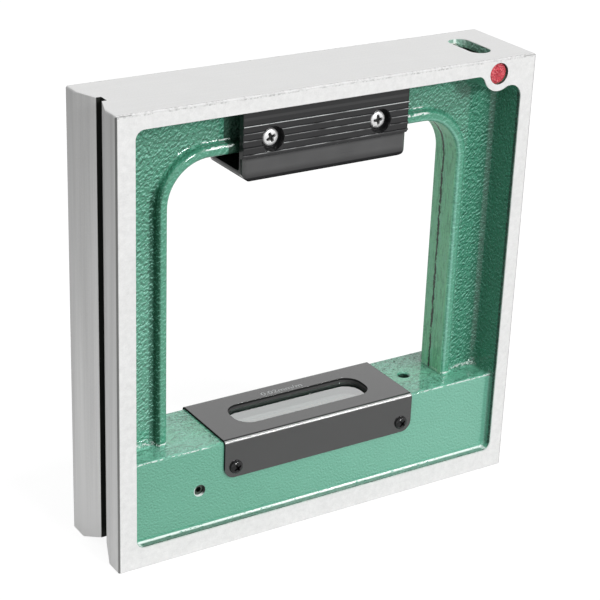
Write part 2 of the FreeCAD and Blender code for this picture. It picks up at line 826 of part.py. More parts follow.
makers = {
    "frame_casting": make_frame_casting,
    "vial_cover": make_vial_cover,
    "cover_screws": make_cover_screws,
    "window_gasket": make_window_gasket,
    "window_glass": make_window_glass,
    "hand_grip": make_hand_grip,
    "grip_screws": make_grip_screws,
    "pivot_screws": make_pivot_screws,
    "vial_tube": make_vial_tube,
    "pivot_end_plug": make_pivot_end_plug,
    "adjuster_end_plug": make_adjuster_end_plug,
    "plug_lock_screws": make_plug_lock_screws,
    "main_vial_glass": make_main_vial_glass,
    "main_vial_stopper": make_main_vial_stopper,
    "main_vial_spirit": make_main_vial_spirit,
    "main_vial_bushes": make_main_vial_bushes,
    "adjusting_screw": make_adjusting_screw,
    "return_spring": make_return_spring,
    "cross_vial_glass": make_cross_vial_glass,
    "cross_vial_spirit": make_cross_vial_spirit,
    "cross_vial_bushes": make_cross_vial_bushes,
    "front_bore_seal": lambda: make_bore_seal(-1),
    "rear_bore_seal": lambda: make_bore_seal(1),
}

os.makedirs("parts", exist_ok=True)
for name, make in makers.items():
    shape = make()
    shape.exportStep("parts/" + name + ".step")
    print(name, len(shape.Solids), "solids", round(shape.Volume, 1), "mm3", shape.isValid())
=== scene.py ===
import json
import math

import bmesh
import bpy
import numpy as np
from mathutils import Matrix, Vector


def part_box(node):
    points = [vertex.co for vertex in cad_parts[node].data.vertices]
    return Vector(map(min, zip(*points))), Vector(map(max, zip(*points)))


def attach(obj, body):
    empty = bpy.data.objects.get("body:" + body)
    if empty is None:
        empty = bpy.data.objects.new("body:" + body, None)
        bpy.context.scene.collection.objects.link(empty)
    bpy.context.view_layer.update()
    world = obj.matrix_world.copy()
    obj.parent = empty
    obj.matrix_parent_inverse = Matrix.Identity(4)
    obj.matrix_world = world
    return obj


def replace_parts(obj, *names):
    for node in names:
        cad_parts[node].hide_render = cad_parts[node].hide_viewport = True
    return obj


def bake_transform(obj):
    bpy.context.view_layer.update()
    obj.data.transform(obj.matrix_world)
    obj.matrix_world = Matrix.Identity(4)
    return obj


# A square frame level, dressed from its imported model. Metres throughout: X to the right along the base,
# Y from the front face to the back, Z up.

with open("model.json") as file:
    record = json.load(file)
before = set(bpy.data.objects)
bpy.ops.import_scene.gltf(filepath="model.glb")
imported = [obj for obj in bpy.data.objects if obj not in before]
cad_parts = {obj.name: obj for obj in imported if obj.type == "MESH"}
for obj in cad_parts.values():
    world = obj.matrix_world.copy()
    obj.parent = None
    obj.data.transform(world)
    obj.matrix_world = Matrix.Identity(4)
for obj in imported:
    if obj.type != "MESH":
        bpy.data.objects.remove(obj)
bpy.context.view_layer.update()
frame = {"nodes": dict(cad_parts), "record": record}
scene = bpy.context.scene
scene.view_settings.view_transform = "Standard"
mm = 0.001


def boxOf(node):
    # lowest and highest corner of a CAD node as numpy arrays
    low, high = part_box(node)
    return np.array(low), np.array(high)


def cornerOf(node):
    # highest corner of a CAD node as three plain numbers
    return boxOf(node)[1].tolist()


def middleOf(node):
    # middle of a CAD node's box as three plain numbers
    low, high = boxOf(node)
    return ((low + high) / 2).tolist()


# Camera

cameraLook = {
    "target": (-1.31 * mm, 0.0, 96.72 * mm),
    "azimuth": -32.75,
    "elevation": 23.84,
    "roll": 2.17,
    "distance": 0.7674,
    "lens": 106.54,
}


def bearing(look):
    # unit vector (sin a cos e, -cos a cos e, sin e) towards azimuth a and elevation e
    a, e = math.radians(look["azimuth"]), math.radians(look["elevation"])
    return Vector((math.sin(a) * math.cos(e), -math.cos(a) * math.cos(e), math.sin(e)))


def makeCamera(look):
    # the camera stands at target + distance * back and is turned by roll about its line of sight
    t = math.radians(look["roll"])
    back = bearing(look)
    right = Vector((0, 0, 1)).cross(back).normalized()
    up = back.cross(right)
    turnedRight = math.cos(t) * right + math.sin(t) * up
    turnedUp = math.cos(t) * up - math.sin(t) * right
    place = Vector(look["target"]) + look["distance"] * back
    data = bpy.data.cameras.new("camera")
    data.lens = look["lens"]
    data.sensor_width = 36
    data.sensor_fit = "HORIZONTAL"
    data.clip_start = 0.01
    camera = bpy.data.objects.new("camera", data)
    camera.matrix_world = Matrix((
        (turnedRight.x, turnedUp.x, back.x, place.x),
        (turnedRight.y, turnedUp.y, back.y, place.y),
        (turnedRight.z, turnedUp.z, back.z, place.z),
        (0, 0, 0, 1)))
    scene.collection.objects.link(camera)
    scene.camera = camera


makeCamera(cameraLook)
print("camera placed")


# Shader maths


class Signal:
    # one output of a shader node: + - * / ** between signals and numbers add Math nodes
    def __init__(self, finish, socket):
        self.finish = finish
        self.socket = socket

    def math(self, operation, *values):
        inputs = dict(enumerate((self, *values)))
        return self.finish.node("ShaderNodeMath", {"operation": operation}, inputs)

    def __add__(self, other):
        return self.math("ADD", other)

    def __radd__(self, other):
        return self.math("ADD", other)

    def __sub__(self, other):
        return self.math("SUBTRACT", other)

    def __rsub__(self, other):
        return self.math("MULTIPLY", -1.0).math("ADD", other)

    def __mul__(self, other):
        return self.math("MULTIPLY", other)

    def __rmul__(self, other):
        return self.math("MULTIPLY", other)

    def __pow__(self, other):
        return self.math("POWER", other)

    def larger(self, other):
        return self.math("MAXIMUM", other)

    def smaller(self, other):
        return self.math("MINIMUM", other)

    def size(self):
        return self.math("ABSOLUTE")

    def step(self, low, high):
        # 0 at low, 1 at high and smooth between; low may be the larger
        return self.finish.node("ShaderNodeMapRange", {"interpolation_type": "SMOOTHSTEP"},
                                {"Value": self, "From Min": low, "From Max": high})

    def over(self, limit, soft):
        # 0 up to limit and 1 from limit + soft on
        return self.step(limit, limit + soft)

    def under(self, limit, soft):
        # 1 up to limit - soft and 0 from limit on
        return self.step(limit, limit - soft)

    def between(self, low, high, soft):
        # 1 between low and high, 0 outside, over a soft border
        return self.step(low - soft, low + soft) * self.step(high + soft, high - soft)


class Finish:
    # the nodes of one material, or of the world, built from signals
    def __init__(self, name, owner=None):
        self.owner = owner or bpy.data.materials.new(name)
        self.owner.use_nodes = True
        self.tree = self.owner.node_tree
        self.tree.nodes.clear()

    def node(self, kind, settings=None, inputs=None, output=0):
        # the one way to add a node: its type, its settings first, then values or signals by socket
        made = self.tree.nodes.new(kind)
        for key, value in (settings or {}).items():
            setattr(made, key, value)
        for key, value in (inputs or {}).items():
            if isinstance(value, Signal):
                self.tree.links.new(value.socket, made.inputs[key])
            elif isinstance(value, tuple) and len(value) == 3 and made.inputs[key].type == "RGBA":
                made.inputs[key].default_value = (*value, 1)
            else:
                made.inputs[key].default_value = value
        return Signal(self, made.outputs[output]) if len(made.outputs) else None

    def others(self, signal, *names):
        # further outputs of the node behind a signal
        return [Signal(self, signal.socket.node.outputs[name]) for name in names]

    def place(self):
        # Object coordinates, which for every piece are the frame's own metres
        return self.node("ShaderNodeTexCoord", output="Object")

    def axes(self):
        # x, y and z of the place as three signals
        x = self.node("ShaderNodeSeparateXYZ", None, {0: self.place()})
        return [x, *self.others(x, "Y", "Z")]

    def stretched(self, size, turn=(0, 0, 0), shift=(0, 0, 0)):
        # the place, moved back by shift, turned and then divided by the size of one patch along each axis
        return self.node("ShaderNodeMapping", {"vector_type": "TEXTURE"},
                         {"Vector": self.place(), "Scale": size, "Rotation": turn, "Location": shift})

    def noise(self, vector, scale, detail=2.0, rough=0.5, warp=0.0):
        return self.node("ShaderNodeTexNoise", None, {
            "Vector": vector, "Scale": scale, "Detail": detail, "Roughness": rough, "Distortion": warp})

    def lumps(self, size, turn, rise, detail, warp):
        # a stretched noise, and that noise less itself a little further up, above 0 on the lumps' upper sides
        here = self.noise(self.stretched(size, turn), 1.0, detail, 0.5, warp)
        return here, here - self.noise(self.stretched(size, turn, rise), 1.0, detail, 0.5, warp)

    def cells(self, vector, scale):
        return self.node("ShaderNodeTexVoronoi", None, {"Vector": vector, "Scale": scale}, "Distance")

    def mix(self, share, first, second):
        # number that goes from first to second as share goes from 0 to 1
        return self.node("ShaderNodeMix", {"data_type": "FLOAT"}, {0: share, 2: first, 3: second})

    def blend(self, share, first, second):
        # colour that goes from first to second as share goes from 0 to 1
        return self.node("ShaderNodeMix", {"data_type": "RGBA"}, {0: share, 6: first, 7: second}, 2)

    def relief(self, height, distance, strength=1.0, under=None):
        inputs = {"Height": height, "Distance": distance, "Strength": strength}
        if under is not None:
            inputs["Normal"] = under
        return self.node("ShaderNodeBump", None, inputs)

    def surface(self, values):
        return self.node("ShaderNodeBsdfPrincipled", None, values)

    def layered(self, share, under, over):
        # the shader under where share is 0 and the shader over where it is 1
        return self.node("ShaderNodeMixShader", None, {0: share, 1: under, 2: over})

    def glass(self, look, blend, rough, share):
        # clear from straight on and a mirror at a low angle; share(facing) is how much of it mirrors
        facing = self.node("ShaderNodeLayerWeight", None, {"Blend": blend}, "Facing")
        clear = self.node("ShaderNodeBsdfTransparent", None, {"Color": look["tint"]})
        mirror = self.node("ShaderNodeBsdfGlossy", None, {"Color": look["mirror"], "Roughness": rough})
        return self.layered(share(facing), clear, mirror)

    def seenAndGloss(self):
        # 1 for rays from the camera or through glass, and 1 for rays from a glossy surface
        seen = self.node("ShaderNodeLightPath", output="Is Camera Ray")
        gloss, through = self.others(seen, "Is Glossy Ray", "Is Transmission Ray")
        return seen.larger(through), gloss

    def done(self, shader, output="ShaderNodeOutputMaterial"):
        self.node(output, None, {"Surface": shader})
        return self.owner


# Places that the looks take from the CAD, as distances from the middle and heights over the base

castSide, castFace, castTop = cornerOf("frame_casting")
boreX, _, boreZ = middleOf("front_bore_seal")
pivotX, _, pivotZ = middleOf("pivot_screws")
coverEnd, coverFace, coverTop = cornerOf("vial_cover")
coverSheet = 1.0 * mm
gripEnd, gripFace, _ = cornerOf("hand_grip")
gripBottom = boxOf("hand_grip")[0][2].item()

# Casting: ground outside, hammered paint inside the rims

castingLook = {
    "paint": (0.066, 0.308, 0.196),
    # darker paint, for darker tone and also for painted shade
    "paintDeepAndShade": (0.016, 0.115, 0.064),
    # paler paint, for paler tone and also for painted highlight and painted light
    "paintPaleAndLit": (0.30, 0.68, 0.54),
    "panel": (0.112, 0.362, 0.250),
    "ledge": (0.190, 0.570, 0.400),
    "jamb": (0.330, 0.840, 0.500),
    "glint": (0.90, 0.98, 0.95),
    "metal": (0.86, 0.86, 0.855),
    "metalDark": (0.30, 0.30, 0.298),
    # dark colour for real dirt and joints, and also for painted shade in holes, slots and shaded places
    "grimeAndShade": (0.020, 0.022, 0.020),
    # sizes of one lump of paint, how far up its shading looks, and the heights of the relief's parts
    "wrinkle": (1.10 * mm, 1.10 * mm, 1.70 * mm),
    "wrinkleTurn": (0.0, math.radians(42), 0.0),
    "grain": (0.95 * mm, 0.95 * mm, 0.95 * mm),
    "rise": (0.0, 0.0, -0.36 * mm),
    "bump": 1.7,
    "wave": 0.5,
    "pit": 0.25,
    "peel": 0.35,
    "run": 1.3,
    # planes and edges of the casting
    "face": castFace,
    "side": castSide,
    "top": castTop,
    "edge": 0.72 * mm,
    "web": 4.5 * mm,
    "bead": 4.7 * mm,
    "blockTop": coverTop - coverSheet,
    "blockFace": coverFace - coverSheet,
    "rimMiddle": {"left": 7.5 * mm - castSide, "right": castSide - 4.0 * mm, "top": castTop - 4.5 * mm,
                  "bottom": 9.0 * mm},
    "window": {"left": -70.4 * mm, "right": 71.9 * mm, "top": 172.0 * mm, "corner": 19.0 * mm},
    "reliefSlot": {"half": 2.55 * mm, "depth": (3.85 * mm, 6.05 * mm)},
    "bore": {"x": boreX, "z": boreZ, "radius": 4.7 * mm},
    "topSlot": {"half": 12.2 * mm, "wide": 5.6 * mm, "low": castTop - 10.0 * mm, "foot": castTop - 3.4 * mm},
    "pivot": {"x": pivotX, "z": pivotZ, "ring": (2.35 * mm, 2.75 * mm), "deep": 15.0 * mm},
    "grip": {"end": gripEnd, "low": 150.0 * mm, "half": 10.5 * mm},
    "access": {"x": middleOf("adjusting_screw")[0], "radius": 2.5 * mm},
    "parting": {"y": 1.5 * mm, "wobble": 2.6 * mm, "half": 0.85 * mm},
    "ragged": 0.5 * mm,
    "groundEdge": 0.6 * mm,
}


class CastingRegions:
    # the casting's regions as masks, 1 inside and 0 outside, worked out from the place alone
    def __init__(self, finish, look):
        self.x, self.y, self.z = x, y, z = finish.axes()
        self.deep = deep = y.size()
        self.overBlock = overBlock = z - look["blockTop"]
        self.overFace = overFace = deep - look["blockFace"]
        self.fromRight = fromRight = x - look["rimMiddle"]["right"]
        self.patch = finish.noise(finish.place(), 130.0, 2.0, 0.5)
        # ground metal: outside the rims' middle lines and on the front and rear faces, not in the top slot
        rims, slot, bore = look["rimMiddle"], look["topSlot"], look["bore"]
        ragged = (finish.noise(finish.place(), 900.0, 3.0) - 0.5) * look["ragged"]
        self.front = deep - (look["face"] - look["groundEdge"]) + ragged
        outside = (rims["left"] - x).larger(fromRight).larger(z - rims["top"]).larger(rims["bottom"] - z)
        inSlot = deep.under(slot["half"], 0.1 * mm) * (x - bore["x"]).size().under(slot["wide"], 0.1 * mm)
        self.topSlot = inSlot * z.under(look["top"] - 0.1 * mm, 0.3 * mm)
        self.ground = outside.larger(self.front).step(-0.04 * mm, 0.04 * mm) * (1 - self.topSlot)
        # distance outside the window: length of the part of (|x - c| - h, z - t) above 0, less the radius
        window = look["window"]
        across = (x - (window["left"] + window["right"]) / 2).size() - (
            (window["right"] - window["left"]) / 2 - window["corner"])
        above = z - (window["top"] - window["corner"])
        self.gap = gap = (across.larger(0.0) ** 2.0 + above.larger(0.0) ** 2.0) ** 0.5 - window["corner"]
        # the block's front and top, the window's inner wall, the web, the right inner wall and its wide foot
        aboveBlock = overBlock.over(-0.2 * mm, 0.8 * mm)
        self.panel = overFace.over(-1.2 * mm, 1.0 * mm) * overBlock.under(0.2 * mm, 1.0 * mm)
        self.ledge = overBlock.size().under(0.9 * mm, 0.6 * mm) * (1 - self.panel)
        self.jamb = gap.under(0.9 * mm, 0.8 * mm) * deep.under(8.2 * mm, 1.2 * mm) * aboveBlock
        self.web = gap.over(look["bead"] - 0.4 * mm, 1.6 * mm) * deep.under(
            look["web"] + 5.0 * mm, 4.0 * mm) * aboveBlock
        self.wall = fromRight.over(-4.5 * mm, 1.5 * mm) * (1 - self.ground)
        self.foot = fromRight.over(-9.8 * mm, 2.2 * mm) * (1 - self.panel) * aboveBlock
        # the block's top is worn in patches and all over its rear
        self.wearAndGlint = self.ledge * (self.patch.step(0.44, 0.54) * 0.7).larger(y.over(-4.0 * mm, 12.0 * mm))
        # the bead's left flank, given painted shade, and the bend inside the bead on the right, given a
        # painted highlight
        self.root = gap.between(look["bead"] - 1.2 * mm, look["bead"] + 1.7 * mm, 0.5 * mm) * above.under(
            15.0 * mm, 11.0 * mm) * aboveBlock * x.under(10.0 * mm, 20.0 * mm)
        self.bend = gap.between(0.6 * mm, 1.5 * mm, 0.3 * mm) * deep.over(7.6 * mm, 0.7 * mm) * x.over(
            30.0 * mm, 30.0 * mm) * aboveBlock
        # shade beside the grip's ends, on the floor inside the lower rim and low on the right wall
        grip = look["grip"]
        self.beside = x.size().under(grip["end"] + 3.8 * mm, 0.6 * mm) * z.over(
            grip["low"], 10.0 * mm) * deep.under(grip["half"], 1.0 * mm)
        floor = z.under(rims["bottom"] + 0.85 * mm, 0.07 * mm)
        lowWall = self.wall * overBlock.under(1.0 * mm, 1.0 * mm)
        self.shaded = self.root.larger(self.beside).larger(floor * 0.90).larger(lowWall * 0.75)


def glintLines(finish, look, at):
    # broken painted glints along the lower rim's floor, the block's edge, the web's foot and the bead beside
    # the grip
    spots = finish.noise(finish.stretched((2.2 * mm, 0.8 * mm, 0.8 * mm)), 1.0, 2.0, 0.6)
    overRim = at.z - look["rimMiddle"]["bottom"]
    floorLine = overRim.between(0.8 * mm, 1.5 * mm, 0.2 * mm) * at.overFace.over(-0.4 * mm, 0.3 * mm)
    edgeLine = (at.overBlock + at.overFace).over(-0.78 * mm, 0.06 * mm) * at.overBlock.under(
        0.3 * mm, 0.2 * mm) * at.overFace.under(0.3 * mm, 0.2 * mm) * at.x.size().over(50.0 * mm, 8.0 * mm)
    nearWeb = at.web.larger(at.gap.between(0.0, 6.0 * mm, 0.3 * mm))
    footLine = at.overBlock.between(0.6 * mm, 1.6 * mm, 0.3 * mm) * nearWeb
    lower = (floorLine * spots.step(0.33, 0.43)).larger(edgeLine * spots.step(0.45, 0.53))
    lower = lower.larger(footLine * spots.step(0.48, 0.56))
    onBead = at.gap.between(3.4 * mm, 4.3 * mm, 0.2 * mm).larger(at.gap.between(5.2 * mm, 5.7 * mm, 0.1 * mm))
    fromGrip = at.x.size() - look["grip"]["end"]
    besideGrip = fromGrip.under(16.0 * mm, 3.0 * mm) * fromGrip.over(0.4 * mm, 0.4 * mm)
    beadLine = onBead * besideGrip * at.z.over(look["window"]["top"] + 1.5 * mm, 1.0 * mm) * at.deep.under(
        look["web"] + 5.0 * mm, 0.5 * mm)
    return (lower * 0.85).larger(beadLine * spots.step(0.45, 0.52)) * (1 - at.ground)


def hammeredPaint(finish, look, at):
    # colour and height of the hammered paint: lumps with painted highlight on their upper sides and painted
    # shade on their lower sides
    place = finish.place()
    cloud = finish.noise(place, 55.0, 3.0, 0.6)
    wrinkle, upper = finish.lumps(look["wrinkle"], look["wrinkleTurn"], look["rise"], 2.0, 0.25)
    peel, upperPeel = finish.lumps(look["grain"], (0.0, 0.0, 0.0), look["rise"], 1.0, 0.0)
    wave = finish.noise(place, 330.0, 2.0, 0.5)
    pits = finish.cells(place, 620.0).step(0.0, 0.35)
    runs = finish.noise(finish.stretched((1.1 * mm, 1.1 * mm, 7.0 * mm)), 1.0, 3.0, 0.6)
    rough = 0.42 + (at.web + at.wall + at.wearAndGlint).smaller(1.0) * 0.58
    rough = rough * (1 - at.panel * 0.97) * (1 - at.jamb * 0.6)
    height = (wrinkle * look["bump"] + wave * look["wave"]) * rough + pits * at.ledge * look["pit"]
    height = height + peel * look["peel"] * (0.3 + at.panel * 0.7) + runs * at.jamb * look["run"]
    paint = finish.blend(at.panel, look["paint"], look["panel"])
    # the block's top is paler, partly its own paint and partly painted light from above
    paint = finish.blend(at.ledge * 0.9, paint, look["ledge"])
    # the window's inner wall is paler and yellower, partly its own paint and partly painted light
    paint = finish.blend(at.jamb * 0.9, paint, look["jamb"])
    # darker paint: painted shade on lower sides, at the right wall's foot and in the shaded places, with
    # clouds and runs of darker tone
    lower = upper.step(-0.01, -0.13) * rough + upperPeel.step(0.0, -0.25) * at.panel * 0.34
    deepShare = (lower * 0.9).larger(at.foot * 0.40) + (cloud - 0.5) * 0.3
    deepShare = deepShare + at.jamb * runs.step(0.51, 0.38) * 0.30
    paint = finish.blend(deepShare.larger(at.shaded), paint, look["paintDeepAndShade"])
    # a few dark specks on the block's worn top
    specks = at.wearAndGlint * at.overBlock.over(-0.4 * mm, 0.3 * mm)
    specks = specks * finish.noise(place, 620.0, 2.0).step(0.64, 0.67)
    # painted shadow beside the grip's ends and painted shade on the bead's left flank, besides the specks
    paint = finish.blend((at.beside * 0.6).larger(specks * 0.7).larger(at.root * 0.25), paint, look["grimeAndShade"])
    # paler paint: pale runs and pits, painted highlight on upper sides and the bead's right bend, and painted
    # light on parts of the web, panel and block's top
    paleShare = upper.step(0.03, 0.13) * rough * (0.88 - at.wall * 0.40) * (1 - at.beside) + at.bend * 0.40
    for more in (
            upperPeel.step(0.0, 0.25) * at.panel * 0.20,
            at.jamb * runs.step(0.52, 0.66) * 0.35,
            at.wall * pits.step(0.25, 0.05) * 0.35,
            at.web * at.x.under(-60.0 * mm, 18.0 * mm) * at.z.under(165.0 * mm, 55.0 * mm) * 0.16,
            at.web * at.z.over(171.0 * mm, 15.0 * mm) * 0.05,
            at.panel * at.x.over(-90.0 * mm, 180.0 * mm) * 0.20,
            at.ledge * at.x.under(-50.0 * mm, 10.0 * mm) * 0.35):
        paleShare = paleShare + more
    paint = finish.blend(paleShare, paint, look["paintPaleAndLit"])
    # the top slot's wall: painted light brighter to the rear, a painted highlight at its end, a pale seam and
    # a painted shadow at its foot
    slot = at.topSlot * at.z.over(look["topSlot"]["low"], 2.0 * mm)
    fromMiddle = at.x - look["bore"]["x"]
    seam = fromMiddle.between(4.3 * mm, 4.8 * mm, 0.1 * mm) * at.y.over(6.0 * mm, 1.0 * mm) * 0.5
    shine = at.y.over(11.60 * mm, 0.12 * mm) * fromMiddle.over(0.3 * mm, 0.3 * mm)
    shine = shine.larger(seam).larger(0.20 + at.y.over(-2.0 * mm, 11.0 * mm) * 0.12)
    paint = finish.blend(glintLines(finish, look, at).larger(slot * shine), paint, look["glint"])
    slotFoot = slot * at.z.under(look["topSlot"]["foot"], 0.4 * mm) * at.y.over(-3.0 * mm, 2.5 * mm)
    paint = finish.blend(slotFoot, paint, look["grimeAndShade"])
    # the parting line runs round the window, a little behind the middle, with a pale ridge before it, which
    # is a painted highlight
    parting = look["parting"]
    breaks = finish.noise(place, 260.0, 3.0, 0.6)
    fromParting = at.y - parting["y"] + (breaks - 0.5) * parting["wobble"]
    line = fromParting.size().under(parting["half"], 0.4 * mm) * at.jamb * breaks.step(0.30, 0.38)
    ridge = fromParting.between(-2.2 * mm, -1.1 * mm, 0.3 * mm) * at.jamb * runs.step(0.44, 0.52)
    paint = finish.blend(ridge * 0.45, paint, look["paintPaleAndLit"])
    # a broken dark line where the paint meets the ground faces, wider on the right, and painted shade in the
    # access hole
    atRight = at.fromRight.over(-3.5 * mm, 0.5 * mm)
    wider = at.front.between(-1.7 * mm, 0.0, 0.1 * mm) * atRight
    brink = at.front.between(-0.6 * mm, 0.0, 0.1 * mm).larger(wider)
    brink = brink * finish.noise(place, 1300.0, 2.0).step(0.42 - atRight * 0.08, 0.58 - atRight * 0.10)
    access = look["access"]
    fromAccess = ((at.x - access["x"]) ** 2.0 + at.y ** 2.0) ** 0.5
    shaft = fromAccess.under(access["radius"] + 0.2 * mm, 0.2 * mm) * at.overBlock.under(-0.4 * mm, 0.8 * mm)
    paint = finish.blend((line * 0.95).larger(brink * 0.9).larger(shaft * 0.85), paint, look["grimeAndShade"])
    # a bare ring round the front pivot screw, with a painted highlight at the lower left and painted shade at
    # the upper right
    pivot = look["pivot"]
    u, v = at.x - pivot["x"], at.z - pivot["z"]
    ring = ((u ** 2.0 + v ** 2.0) ** 0.5).between(*pivot["ring"], 0.08 * mm) * at.deep.over(
        pivot["deep"], 0.2 * mm) * u.under(3.8 * mm, 1.0 * mm)
    ringLightAndShade = finish.blend((u + v).step(1.2 * mm, -1.8 * mm), look["grimeAndShade"], look["glint"])
    return finish.blend(ring, paint, ringLightAndShade), height, cloud, specks


def groundMetal(finish, look, at, cloud):
    # colour and height of the ground metal: lines along the top, streaks up the sides, mottle on the faces
    place = finish.place()
    flat = at.deep.over(look["face"] - 0.10 * mm, 0.06 * mm)
    upright = (1 - flat) * at.x.size().over(look["side"] - 7.0 * mm, 0.4 * mm)
    upright = upright * at.z.under(look["top"] - 0.1 * mm, 0.3 * mm)
    lines = finish.noise(finish.stretched((60 * mm, 0.6 * mm, 0.6 * mm)), 1.0, 3.0, 0.6)
    streaks = finish.noise(finish.stretched((0.7 * mm, 0.7 * mm, 60 * mm)), 1.0, 3.0, 0.65)
    bands = finish.noise(finish.stretched((5 * mm, 5 * mm, 180 * mm)), 1.0, 2.0, 0.5)
    grain = finish.noise(place, 1500.0, 3.0, 0.6)
    mottle = finish.noise(place, 420.0, 3.0, 0.6)
    level = 0.05 + flat * 0.09 + (grain - 0.5) * 0.24 + (mottle - 0.5) * flat * 0.36
    level = level + (cloud - 0.5) * 0.08 + (lines - 0.5) * (1 - flat) * 0.12
    # painted shade: the sides are darker than the faces and grow darker towards the top; streaks and bands
    # vary them
    onSide = 0.27 + (at.z - 0.09) * 3.1 + (streaks - 0.5) * 0.30 + (bands - 0.5) * 0.7 + (grain - 0.5) * 0.15
    # the top's long chamfers are a little duller than the faces
    overEdge = at.z + at.deep - (look["top"] + look["face"])
    chamfer = overEdge.over(-look["edge"], 0.03 * mm)
    shade = finish.mix(upright, level, onSide) + chamfer * 0.22
    metal = finish.blend(shade, look["metal"], look["metalDark"])
    # dark relief slots from dirt and painted shade, dark upright corners, a dotted line along the top's long
    # edges and painted shade on the bore's wall
    relief, bore = look["reliefSlot"], look["bore"]
    inRelief = at.deep.under(relief["half"] + 0.02 * mm, 0.04 * mm) * (at.x + look["side"]).between(
        *relief["depth"], 0.02 * mm).larger(at.z.between(*relief["depth"], 0.02 * mm))
    corner = (at.x.size() + at.deep - (look["side"] + look["face"])).over(-look["edge"], 0.03 * mm)
    dots = overEdge.between(-1.2 * mm, -0.6 * mm, 0.2 * mm) * finish.noise(place, 800.0, 3.0, 0.6).step(
        0.42, 0.66) * at.patch.step(0.36, 0.56)
    fromBore = ((at.x - bore["x"]) ** 2.0 + (at.z - bore["z"]) ** 2.0) ** 0.5
    hole = fromBore.under(bore["radius"] + 0.04 * mm, 0.05 * mm) * (1 - at.topSlot)
    dark = inRelief.larger(corner * 0.75).larger(dots * 0.42).larger(hole)
    height = streaks * upright + lines * (1 - upright)
    return finish.blend(dark, metal, look["grimeAndShade"]), height, grain


def castingFinish(look):
    finish = Finish("castingFinish")
    at = CastingRegions(finish, look)
    paint, paintHeight, cloud, specks = hammeredPaint(finish, look, at)
    metal, metalHeight, grain = groundMetal(finish, look, at, cloud)
    # less gloss on the inner walls, right under the top rim and in the shaded places
    dull = (at.z.over(look["top"] - 20.0 * mm, 7.0 * mm) * 0.6).larger(at.shaded * 0.85)
    dull = dull.larger(at.beside).larger(specks).larger(at.jamb * 0.75 + at.wall * 0.4)
    normal = finish.relief(paintHeight * (1 - at.ground), mm)
    return finish.done(finish.surface({
        "Base Color": finish.blend(at.ground, paint, metal),
        "Roughness": finish.mix(at.ground, 0.42 + (cloud - 0.5) * 0.1, 0.46 + (grain - 0.5) * 0.1),
        "Metallic": at.ground * 0.30, "Specular IOR Level": 0.25,
        "Normal": finish.relief(metalHeight * at.ground, 0.010 * mm, 0.6, normal),
        "Coat Weight": (1 - at.ground) * (1 - dull), "Coat Roughness": 0.07, "Coat IOR": 1.6}))


# Finishes of the other pieces

coverLook = {
    "black": (0.006, 0.006, 0.006),
    "dustAndSheen": (0.022, 0.022, 0.022),
    # pale colour for the painted glint along the bend
    "wearAndGlint": (0.56, 0.56, 0.56),
    "rough": 0.30,
    "gloss": 1.93,
    "end": coverEnd - 0.05 * mm,
    "top": coverTop - 0.05 * mm,
    "window": 13.0 * mm,
    "bend": (coverTop - 1.2 * mm, coverTop - 0.2 * mm),
    "flap": coverFace - 1.1 * mm,
}


def coverFinish(look):
    # satin black under a hard glossy coat, dull on the cut edges, with a painted glint along the bends
    finish = Finish("coverFinish")
    place = finish.place()
    x, y, z = finish.axes()
    deep = y.size()
    grain = finish.noise(place, 2600.0, 2.0, 0.6)
    cloud = finish.noise(place, 70.0, 3.0, 0.6)
    ends = x.size().over(look["end"] - 0.04 * mm, 0.04 * mm)
    cut = z.under(look["top"], 0.04 * mm) * deep.under(look["window"] + 0.4 * mm, 0.4 * mm)
    dull = ends.larger(cut)
    bend = z.between(*look["bend"], 0.2 * mm) * deep.over(look["flap"], 0.2 * mm) * (1 - ends)
    colour = finish.blend(cloud * 0.5 + grain * 0.3, look["black"], look["dustAndSheen"])
    return finish.done(finish.surface({
        "Base Color": finish.blend(bend * (0.4 + cloud * 0.6), colour, look["wearAndGlint"]),
        "Roughness": look["rough"] + (cloud - 0.5) * 0.10 + dull * 0.4, "Specular IOR Level": 0.1,
        "Coat Weight": 1 - dull, "Coat Roughness": 0.20, "Coat IOR": look["gloss"],
        "Normal": finish.relief(grain, 0.005 * mm, 0.6)}))


gripLook = {
    "black": (0.005, 0.005, 0.006),
    "soft": (0.020, 0.020, 0.021),
    # pale colour for painted light on the lower band
    "dustAndSheen": (0.060, 0.060, 0.061),
    # pale colour for the painted highlights on the ribs
    "wearAndGlint": (0.66, 0.67, 0.68),
    "rough": 0.30,
    "firstRib": gripBottom + 11.0 * mm,
    "lastRib": gripBottom + 22.5 * mm,
    "pitch": 3.0 * mm,
    "line": (0.60 * mm, 1.15 * mm),
    "crest": gripFace - 0.15 * mm,
    "inner": 11.2 * mm,
    "end": gripEnd - 0.5 * mm,
    "bottom": gripBottom,
    "band": gripBottom + 10.2 * mm,
}


